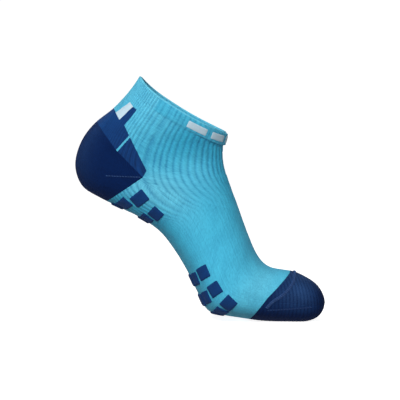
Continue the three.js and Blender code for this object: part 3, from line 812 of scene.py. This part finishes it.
plainZone = {"relief": footHeight, "groove": ribGroove, "tone": skyStretchAndPaintedLight, "yarn": "skyKnit",
             "follow": followAnkle}
zoneSettings = {
    "leg": {"slot": "rib_knit", "nodes": ["leg_rib_panel", "ankle_panel", "heel_tab"]},
    "foot": {"slot": "foot_knit", "nodes": ["instep_panel", "arch_sole"], "follow": followBall},
    "forefoot": {"slot": "foot_knit", "nodes": ["forefoot_upper", "forefoot_sole"], "follow": followBall},
    "toe_pocket": {"relief": toeHeight, "groove": toeGroove, "tone": darkPaintedLight, "yarn": "darkKnit",
                   "slot": "heel_toe_knit", "nodes": ["toe_pocket_upper", "toe_pocket_sole"],
                   "follow": followBall},
    "heel_pocket": {"relief": heelHeight, "groove": noGroove, "tone": darkPaintedLight, "yarn": "darkKnit",
                    "slot": "heel_toe_knit", "nodes": ["heel_pocket_lower", "heel_pocket_upper"]},
    "high_splice": {"relief": spliceHeight, "tone": darkPaintedLight, "yarn": "navyKnit",
                    "slot": "splice_knit", "nodes": ["high_splice"]},
    "splice_line": {"relief": heelHeight, "groove": noGroove, "slot": "rib_knit"},
    "splice_wing": {"relief": spliceHeight, "tone": darkPaintedLight, "yarn": "navyKnit", "slot": "splice_knit"},
    "tab_bar": {"relief": spliceHeight, "tone": darkPaintedLight, "yarn": "navyKnit", "slot": "splice_knit"},
    "tab_block": {"relief": heelHeight, "groove": noGroove, "yarn": "whiteKnit", "slot": "white_knit"},
}
for name, own in zoneSettings.items():
    settings = {**plainZone, **own}
    here = zone == name
    if "nodes" in own:
        buildZone(name + "_knit", here, settings, own["nodes"])
        continue
    near = cut["centres"][:, 1] < 0
    buildZone(name + "_knit_inner", here & near, settings, [name + "_inner"])
    buildZone(name + "_knit_outer", here & ~near, settings, [name + "_outer"])
print("knitted areas done")


# plates that lie on the knit
def joinParts(parts):
    points, faces, uvs, count = [], [], [], 0
    for somePoints, someFaces, someUv in parts:
        points.append(somePoints)
        uvs.append(someUv)
        faces += [[corner + count for corner in face] for face in someFaces]
        count += len(somePoints)
    return np.vstack(points), faces, np.vstack(uvs)


# A closed plate over a grid of places on the knit, with its own top and bottom heights.
def plateOver(t, angle, bottom, top, uv):
    rows, columns = t.shape
    size = rows * columns
    points = np.vstack([lifted(t, angle, top).reshape(-1, 3), lifted(t, angle, bottom).reshape(-1, 3)])
    index = np.arange(size).reshape(rows, columns)
    quads = np.stack([index[:-1, :-1], index[1:, :-1], index[1:, 1:], index[:-1, 1:]], -1).reshape(-1, 4)
    faces = quads.tolist() + (quads[:, ::-1] + size).tolist()
    ring = np.concatenate([index[0, :-1], index[:-1, -1], index[-1, :0:-1], index[:0:-1, 0]])
    after = np.roll(ring, -1)
    faces += np.stack([ring, after, after + size, ring + size], -1).tolist()
    flat = uv.reshape(-1, 2)
    return points, faces, np.vstack([flat, flat])


def belowRim(angle, distance):
    column = (angle + math.pi) / (2 * math.pi) * gridSettings["columns"]
    length = gridLength[:, int(round(column)) % gridSettings["columns"]]
    return np.interp(length[-1] - distance, length, rowT)


weltSettings = {"height": 10.0, "reach": 84.0, "over": 18.0, "under": 0.93, "stand": 2.05, "sideStand": 0.95,
                "beside": (28, 76), "columns": 421, "hem": 9.5}
elasticSettings = {"rows": 3, "half": 0.9, "base": 0.32, "height": 0.5, "columns": 161}


def bandGrid(angles, distances):
    t = np.stack([[belowRim(angle, distance) for angle in angles] for distance in distances])
    down = np.broadcast_to(distances[:, None], t.shape)
    angle = np.broadcast_to(angles, t.shape)
    return t, angle, down, np.stack([waleAt(angle), down / gridSettings["course"]], -1)


def sideways(angle):
    return smooth(*weltSettings["beside"], np.abs(np.degrees(angle)))


# How far the top of the welt stands off the knit.
def weltStand(angle):
    front, beside = weltSettings["stand"], weltSettings["sideStand"]
    return front + (beside - front) * sideways(angle)


def buildWelt(settings):
    far = settings["reach"] + settings["over"]
    angles = np.radians(np.linspace(-far, far, settings["columns"]))
    distances = np.concatenate([[-0.0], np.linspace(0.12, 9.3, 34), [9.6, 9.8, 9.95, 10.1, 10.25]])
    t, angle, down, uv = bandGrid(angles, distances)
    fade = 1 - smooth(settings["reach"] - 1.0, far, np.abs(np.degrees(angle)))
    hem = 1 - 0.95 * smooth(settings["hem"] - sideways(angle), 10.45, down)
    edge = np.minimum(smooth(-0.35, 0.9, down), hem)
    top = 0.3 + (weltStand(angle) - 0.3 + 0.35 * ribHeight(t, angle)) * edge
    bottom = settings["under"] * (1 - smooth(settings["hem"], 9.95, down)) * np.where(down < 0.1, 0.6, 1)
    top = 0.25 + (top - 0.25) * fade
    bottom = np.minimum(0.05 + (bottom - 0.05) * fade, top - 0.15)
    # painted shade in the furrows of the welt's ribs
    furrow = np.tile(0.8 * ribGroove(t, angle, angle).ravel(), 2)
    addPlate("welt_knit", plateOver(t, angle, bottom, top, uv), (0.25, furrow), "skyKnit", followCuff,
             "rib_knit", "welt_outer")


def buildElastics(settings):
    reach = weltSettings["reach"]
    angles = np.radians(np.linspace(-reach, reach, settings["columns"]))
    for row in range(settings["rows"]):
        offsets = np.linspace(-1, 1, 7)
        centre = (row + 0.5) * weltSettings["height"] / settings["rows"]
        t, angle, down, uv = bandGrid(angles, centre + offsets * settings["half"])
        arch = np.sqrt(1 - 0.96 * np.broadcast_to(offsets[:, None], t.shape) ** 2)
        top = settings["base"] + settings["height"] * arch * (1 - 0.7 * sideways(angle))
        label = str(row + 1)
        addPlate("elastic_yarn_" + label, plateOver(t, angle, np.full(t.shape, 0.3), top, uv), (0.3, 0.0),
                 "elasticYarn", followCuff, "elastic_yarn", "welt_elastic_" + label)


buildWelt(weltSettings)
buildElastics(elasticSettings)


edgeSettings = {"rise": 0.1, "tall": 0.95, "wide": 1.3, "around": 520, "section": 14, "ripple": 0.10}


def buildEdge(settings):
    ring = np.linspace(-math.pi, math.pi, settings["around"], endpoint=False)
    last = np.full(len(ring), float(lastStation))
    centre = lifted(last, ring, np.full(len(ring), -1.0))
    topX, topZ, soleX, soleZ = stations[-1][:4]
    out = unit(np.array([-(topZ - soleZ), 0, topX - soleX]) * stretch)
    across = surfaceNormal(last, ring)
    turn = np.linspace(0, 2 * math.pi, settings["section"], endpoint=False)
    swell = 1 + settings["ripple"] * wave(ribPhase(ring) * 2)
    points = (centre[:, None] + out * (settings["rise"] + settings["tall"] * np.sin(turn))[None, :, None]
              + across[:, None] * (settings["wide"] * np.cos(turn))[None, :, None] * swell[:, None, None])
    rows, columns = points.shape[:2]
    index = np.arange(rows * columns).reshape(rows, columns)
    after = np.roll(index, -1, axis=0)
    faces = np.stack([index, after, np.roll(after, -1, axis=1), np.roll(index, -1, axis=1)], -1)
    uv = np.stack(np.broadcast_arrays(waleAt(ring)[:, None], turn[None, :] * 1.4), -1)
    parts = points.reshape(-1, 3), faces.reshape(-1, 4).tolist(), uv.reshape(-1, 2)
    addPlate("collar_edge_knit", parts, (0.8, 0.0), "skyKnit", followCuff, "rib_knit", "collar_edge")


buildEdge(edgeSettings)


blockSettings = {"power": 18, "rings": 12, "around": 96, "domePower": 11, "stitch": (1.3, 0.9)}


# A rounded block on the knit: rings from its middle out to a superellipse, domed on top.
def blockOver(place, width, length, base, top, grain=0.04, ground=None):
    around, power = blockSettings["around"], blockSettings["power"]
    spread = np.linspace(0, 1, blockSettings["rings"] - 3)[1:] ** 0.8 * 0.9
    spread = np.concatenate([spread, [0.95, 0.985, 1.0]])
    turn = np.linspace(0, 2 * math.pi, around, endpoint=False)
    cosine, sine = np.cos(turn), np.sin(turn)
    swing = (np.abs(cosine) ** power + np.abs(sine) ** power) ** (-1 / power)
    offU = np.concatenate([[0], (spread[:, None] * swing * cosine * width / 2).ravel()])
    offV = np.concatenate([[0], (spread[:, None] * swing * sine * length / 2).ravel()])
    reach = np.concatenate([[0], np.repeat(spread, around)])
    t, angle = place(offU, offV)
    dome = (1 - reach ** blockSettings["domePower"]) ** 0.5
    height = base + (top - base) * dome + grain * wave(offU / blockSettings["stitch"][0]) * dome
    if ground:
        height = height + ground(angle)
    points = lifted(t, angle, height)
    faces = []
    for step in range(around):
        after = (step + 1) % around
        faces.append([0, 1 + step, 1 + after])
        for low in range(1, 1 + (len(spread) - 1) * around, around):
            high = low + around
            faces.append([low + step, high + step, high + after, low + after])
    faces.append([len(points) - 1 - step for step in range(around)])
    uv = np.stack([offU, offV], -1) / blockSettings["stitch"]
    a, b, c = points[faces[0]]
    if np.dot(np.cross(b - a, c - a), surfaceNormal(t[:1], angle[:1])[0]) < 0:
        faces = [list(reversed(face)) for face in faces]
    return points, faces, uv


# Angles round half a section, and the distance of each from the middle of the sole.
def sectionLengths(t):
    angles = np.linspace(0, math.pi, 1201)
    points = surfacePoint(np.full(len(angles), t), angles)
    walked = np.concatenate([[0], np.cumsum(np.linalg.norm(np.diff(points, axis=0), axis=-1))])
    return angles, walked[-1] - walked


# Lays a square frame on the knit at one place of a row; heading is its long side in side view.
def placeOnRow(t, distance, heading):
    angles, walked = sectionLengths(t)
    found = float(np.interp(abs(distance), walked[::-1], angles[::-1]))
    middle = np.array([t, 2 * math.pi - found if distance < 0 else found])
    centre = surfacePoint(middle[0], middle[1])
    normal = surfaceNormal(middle[:1], middle[1:])[0]
    forward = np.array([math.cos(heading), 0, math.sin(heading)])
    forward = unit(forward - normal * forward.dot(normal))
    frameOf = np.stack([np.cross(normal, forward), forward])

    def place(u, v):
        wanted = np.stack([u, v], -1)
        spot = np.tile(middle, (len(u), 1))
        for pull in range(8):
            point = surfacePoint(spot[:, 0], spot[:, 1])
            perT = (surfacePoint(spot[:, 0] + 0.01, spot[:, 1]) - point) / 0.01
            perAngle = (surfacePoint(spot[:, 0], spot[:, 1] + 0.005) - point) / 0.005
            slope = np.stack([perT @ frameOf.T, perAngle @ frameOf.T], -1)
            missing = wanted - (point - centre) @ frameOf.T
            move = np.linalg.solve(slope, missing[..., None])[..., 0]
            spot = spot + np.clip(move, -0.3, 0.3)
        return spot[:, 0], spot[:, 1]
    return place


padSettings = {
    "length": 10.6,
    "gap": 2.6,
    "base": -0.25,
    "top": 1.15,
    "rows": {  # place of the outermost block, number of blocks, degrees of its long side
        "forefoot_pads_1": ((-29.8, 40.2), 7, -56.0),
        "forefoot_pads_2": ((-20.6, 27.4), 8, -54.0),
        "forefoot_pads_3": ((-9.6, 16.1), 8, -43.0),
        "arch_pads_1": ((-80.1, 98.6), 6, -52.0),
        "arch_pads_2": ((-67.2, 86.3), 6, -43.0),
    },
}


def buildPadRow(name, centre, blocks, heading, settings):
    t, outermost = locate(side(*centre))
    angles, walked = sectionLengths(t)
    pitch = 2 * np.interp(outermost, angles, walked) / (blocks - 1)
    parts = []
    for block in range(blocks):
        place = placeOnRow(t, (block - (blocks - 1) / 2) * pitch, math.radians(heading))
        parts.append(blockOver(place, pitch - settings["gap"], settings["length"], settings["base"],
                               settings["top"]))
    addPlate(name + "_knit", joinParts(parts), (0.2, 0.0), "blockKnit", followBall, "cushion_blocks", name)


for name, (centre, blocks, heading) in padSettings["rows"].items():
    buildPadRow(name, centre, blocks, heading, padSettings)


barSettings = {"count": 5, "pitch": 30.0, "half": 12.0, "height": 5.6, "base": -0.45, "top": 0.45}


def buildBar(bar, settings):
    middle = math.radians(settings["pitch"] * (bar - (settings["count"] - 1) / 2))
    halfWelt = weltSettings["height"] / 2
    centreT = belowRim(middle, halfWelt)
    chord = surfacePoint(centreT, middle + 0.02) - surfacePoint(centreT, middle - 0.02)
    perAngle = np.linalg.norm(chord) / 0.04

    def place(u, v):
        angle = middle + u / perAngle
        return np.array([belowRim(one, halfWelt - down) for one, down in zip(angle, v)]), angle

    parts = blockOver(place, math.radians(2 * settings["half"]) * perAngle, settings["height"],
                      settings["base"], settings["top"], 0.03, weltStand)
    label = str(bar + 1)
    addPlate("welt_bar_knit_" + label, parts, (0.4, 0.0), "whiteKnit", followCuff, "white_knit",
             "welt_bar_" + label)


for bar in range(barSettings["count"]):
    buildBar(bar, barSettings)
print("welt, edge, pads and bars done")


# raised seams
def lineOn(points, steps):
    values = np.array([side(*point) for point in points])
    places = through(values, np.linspace(0, len(values) - 1, steps + 1))
    return np.stack(locateAll(places[:, 0], places[:, 1], stations), -1)


def mirrored(line):
    return line * np.array([1, -1])


def framesOn(line, height):
    t, angle = line[:, 0], line[:, 1]
    out = surfaceNormal(t, angle)
    along = np.gradient(surfacePoint(t, angle), axis=0)
    return lifted(t, angle, np.full(len(t), height)), out, unit(np.cross(along, out)), unit(along)


def evenly(line, step):
    points = surfacePoint(line[:, 0], line[:, 1])
    walked = np.concatenate([[0], np.cumsum(np.linalg.norm(np.diff(points, axis=0), axis=-1))])
    count = max(int(walked[-1] / step), 2)
    spots = np.linspace(0, walked[-1], count + 1)
    return np.stack([np.interp(spots, walked, line[:, 0]), np.interp(spots, walked, line[:, 1])], -1), spots


# A ridge with beads along it, swept over the knit; base is how deep it is sunk.
def sweepOn(line, settings):
    base, (beadLength, beadDepth) = settings["base"], settings["bead"]
    line, walked = evenly(line, settings["step"])
    place, out, across, _ = framesOn(line, 0.0)
    count = settings["humps"]
    u = np.linspace(-1, 1, 8 * count + 1)
    v = np.maximum(settings["height"] * np.abs(np.sin(math.pi * u * count / 2)) ** 0.7, 0.05)
    u = np.concatenate([u, [1, -1]]) * settings["width"] / 2
    v = np.concatenate([v, [base, base]])
    swell = 1 + beadDepth * wave(walked / beadLength)
    lift = base + (v[None, :] - base) * np.where(v[None, :] > 0, swell[:, None], 1)
    points = place[:, None] + across[:, None] * u[None, :, None] + out[:, None] * lift[..., None]
    rows, columns = points.shape[:2]
    index = np.arange(rows * columns).reshape(rows, columns)
    over = np.roll(index, -1, axis=1)
    quads = np.stack([index[:-1], over[:-1], over[1:], index[1:]], -1).reshape(-1, 4)
    faces = quads.tolist() + [index[0, ::-1].tolist(), index[-1].tolist()]
    uv = np.stack(np.broadcast_arrays(u[None, :] / 1.3, walked[:, None] / 0.9), -1).reshape(-1, 2)
    points = points.reshape(-1, 3)
    return points, outwardFaces(points, faces), uv


def outwardFaces(points, faces):
    volume = 0.0
    for face in faces:
        for here, after in zip(face[1:-1], face[2:]):
            volume += np.dot(points[face[0]], np.cross(points[here], points[after]))
    return faces if volume > 0 else [list(reversed(face)) for face in faces]


# A row of small arched stitches, one on each point of the line it is given.
def addStitchTree():
    tree = bpy.data.node_groups.new("stitchRow", "GeometryNodeTree")
    given = {"Geometry": "Geometry", "Length": "Float", "Thickness": "Float", "Arch": "Float",
             "Sink": "Float", "Seed": "Int", "Yarn": "Material"}
    for label, kind in given.items():
        tree.interface.new_socket(label, in_out="INPUT", socket_type="NodeSocket" + kind)
    tree.interface.new_socket("Geometry", in_out="OUTPUT", socket_type="NodeSocketGeometry")
    nodes, links = tree.nodes, tree.links
    entry, out = nodes.new("NodeGroupInput"), nodes.new("NodeGroupOutput")
    calc = mathIn(tree)
    half = calc("MULTIPLY", entry.outputs["Length"], 0.5)
    back = calc("MULTIPLY", half, -1.0)
    curve = nodes.new("GeometryNodeCurveQuadraticBezier")
    curve.inputs["Resolution"].default_value = 8
    for label, across, lift in (("Start", back, "Sink"), ("Middle", None, "Arch"), ("End", half, "Sink")):
        spot = nodes.new("ShaderNodeCombineXYZ")
        if across:
            links.new(across, spot.inputs["X"])
        links.new(entry.outputs[lift], spot.inputs["Z"])
        links.new(spot.outputs[0], curve.inputs[label])
    ring = nodes.new("GeometryNodeCurvePrimitiveCircle")
    ring.inputs["Resolution"].default_value = 7
    yarn = nodes.new("GeometryNodeCurveToMesh")
    yarn.inputs["Fill Caps"].default_value = True
    points = nodes.new("GeometryNodeMeshToPoints")
    turn = nodes.new("FunctionNodeAxesToRotation")
    turn.primary_axis = "Z"
    turn.secondary_axis = "X"
    for socket, label in enumerate(("outward", "aside")):
        named = nodes.new("GeometryNodeInputNamedAttribute")
        named.data_type = "FLOAT_VECTOR"
        named.inputs["Name"].default_value = label
        links.new(named.outputs["Attribute"], turn.inputs[socket])
    size = nodes.new("FunctionNodeRandomValue")
    size.data_type = "FLOAT"
    size.inputs[2].default_value = 0.88
    size.inputs[3].default_value = 1.1
    copies = nodes.new("GeometryNodeInstanceOnPoints")
    whole = nodes.new("GeometryNodeRealizeInstances")
    paint = nodes.new("GeometryNodeSetMaterial")
    for start, end in ((entry.outputs["Thickness"], ring.inputs["Radius"]),
                       (curve.outputs[0], yarn.inputs["Curve"]),
                       (ring.outputs[0], yarn.inputs["Profile Curve"]),
                       (entry.outputs["Geometry"], points.inputs["Mesh"]),
                       (entry.outputs["Seed"], size.inputs["Seed"]),
                       (points.outputs[0], copies.inputs["Points"]),
                       (yarn.outputs[0], copies.inputs["Instance"]),
                       (turn.outputs[0], copies.inputs["Rotation"]),
                       (size.outputs[1], copies.inputs["Scale"]),
                       (copies.outputs[0], whole.inputs["Geometry"]),
                       (whole.outputs[0], paint.inputs["Geometry"]),
                       (entry.outputs["Yarn"], paint.inputs["Material"]),
                       (paint.outputs[0], out.inputs[0])):
        links.new(start, end)
    return tree


stitchTree = addStitchTree()


def stitchesOn(line, height, settings):
    place, out, across, along = framesOn(evenly(line, settings["every"])[0], height)
    mesh = bpy.data.meshes.new("stitchPlaces")
    mesh.from_pydata((place * mm).tolist(), [], [])
    lean = math.radians(settings["lean"])
    aside = across * math.cos(lean) + along * math.sin(lean)
    for label, values in (("outward", out), ("aside", aside)):
        layer = mesh.attributes.new(label, "FLOAT_VECTOR", "POINT")
        layer.data.foreach_set("vector", values.astype(np.float32).ravel())
    carrier = newObject("stitchPlaces", mesh)
    modifier = carrier.modifiers.new("stitches", "NODES")
    modifier.node_group = stitchTree
    given = {"Length": settings["length"] * mm, "Thickness": settings["thick"] * mm,
             "Arch": settings["arch"] * mm, "Sink": settings["sink"] * mm, "Seed": 7,
             "Yarn": yarns["seamYarn"]}
    for socket in stitchTree.interface.items_tree:
        if socket.in_out == "INPUT" and socket.name in given:
            modifier[socket.identifier] = given[socket.name]
    graph = bpy.context.evaluated_depsgraph_get()
    made = bpy.data.meshes.new_from_object(carrier.evaluated_get(graph), depsgraph=graph)
    points = np.array([vert.co[:] for vert in made.vertices]) / mm
    faces = [list(polygon.vertices) for polygon in made.polygons]
    bpy.data.objects.remove(carrier)
    bpy.data.meshes.remove(made)
    bpy.data.meshes.remove(mesh)
    return points, faces, points[:, [0, 2]] / 1.3


def buildStrip(name, line, settings, stitches, node, follow):
    strip = sweepOn(line, settings)
    rows = stitchesOn(line, settings["height"] * 0.55, stitches)
    tone = np.repeat([settings["tone"], stitches["tone"]], [len(strip[0]), len(rows[0])])
    addPlate(name, joinParts([strip, rows]), (tone, 0.0), "seamYarn", follow, "seam_yarn", node)


seamSettings = {"width": 2.3, "height": 0.7, "base": -0.3, "bead": (1.6, 0.2), "step": 0.35, "tone": 0.35,
                "humps": 2}
goreSettings = {"width": 1.0, "height": 0.35, "base": -0.3, "bead": (2.1, 0.5), "step": 0.3, "tone": 0.0,
                "humps": 1}
seamStitches = {"every": 1.6, "length": 2.1, "thick": 0.17, "arch": 1.0, "sink": -0.15, "lean": 20,
                "tone": 1.0}
heelStitches = {"every": 2.1, "length": 1.25, "thick": 0.2, "arch": 0.55, "sink": -0.15, "lean": 80,
                "tone": 1.0}
toeStitches = dict(heelStitches, tone=0.3)
climb = lineOn([(21, 13), (26, 18), (34.5, 23.5), (42, 31.6)], 60)
overAngles = np.linspace(climb[-1, 1], -climb[-1, 1], 181)[1:-1]
crest = np.stack([np.full(len(overAngles), climb[-1, 0]), overAngles], -1)
seamLine = np.vstack([climb, crest, mirrored(climb)[::-1]])
heelLine = lineOn([(-106, 117), (-80, 116)], 40)
toeLine = lineOn([(22, 11), (40, 11.8), (56, 12.8)], 60)
buildStrip("toe_seam_yarn", seamLine, seamSettings, seamStitches, "toe_seam", followBall)
for label, turned in (("inner", np.array), ("outer", mirrored)):
    buildStrip("heel_gore_yarn_" + label, turned(heelLine), goreSettings, heelStitches,
               "heel_gore_" + label, followAnkle)
    buildStrip("toe_gore_yarn_" + label, turned(toeLine), goreSettings, toeStitches,
               "toe_gore_" + label, followBall)
print("seams done")


def both(*names):
    return [name + end for name in names for end in ("_inner", "_outer")]
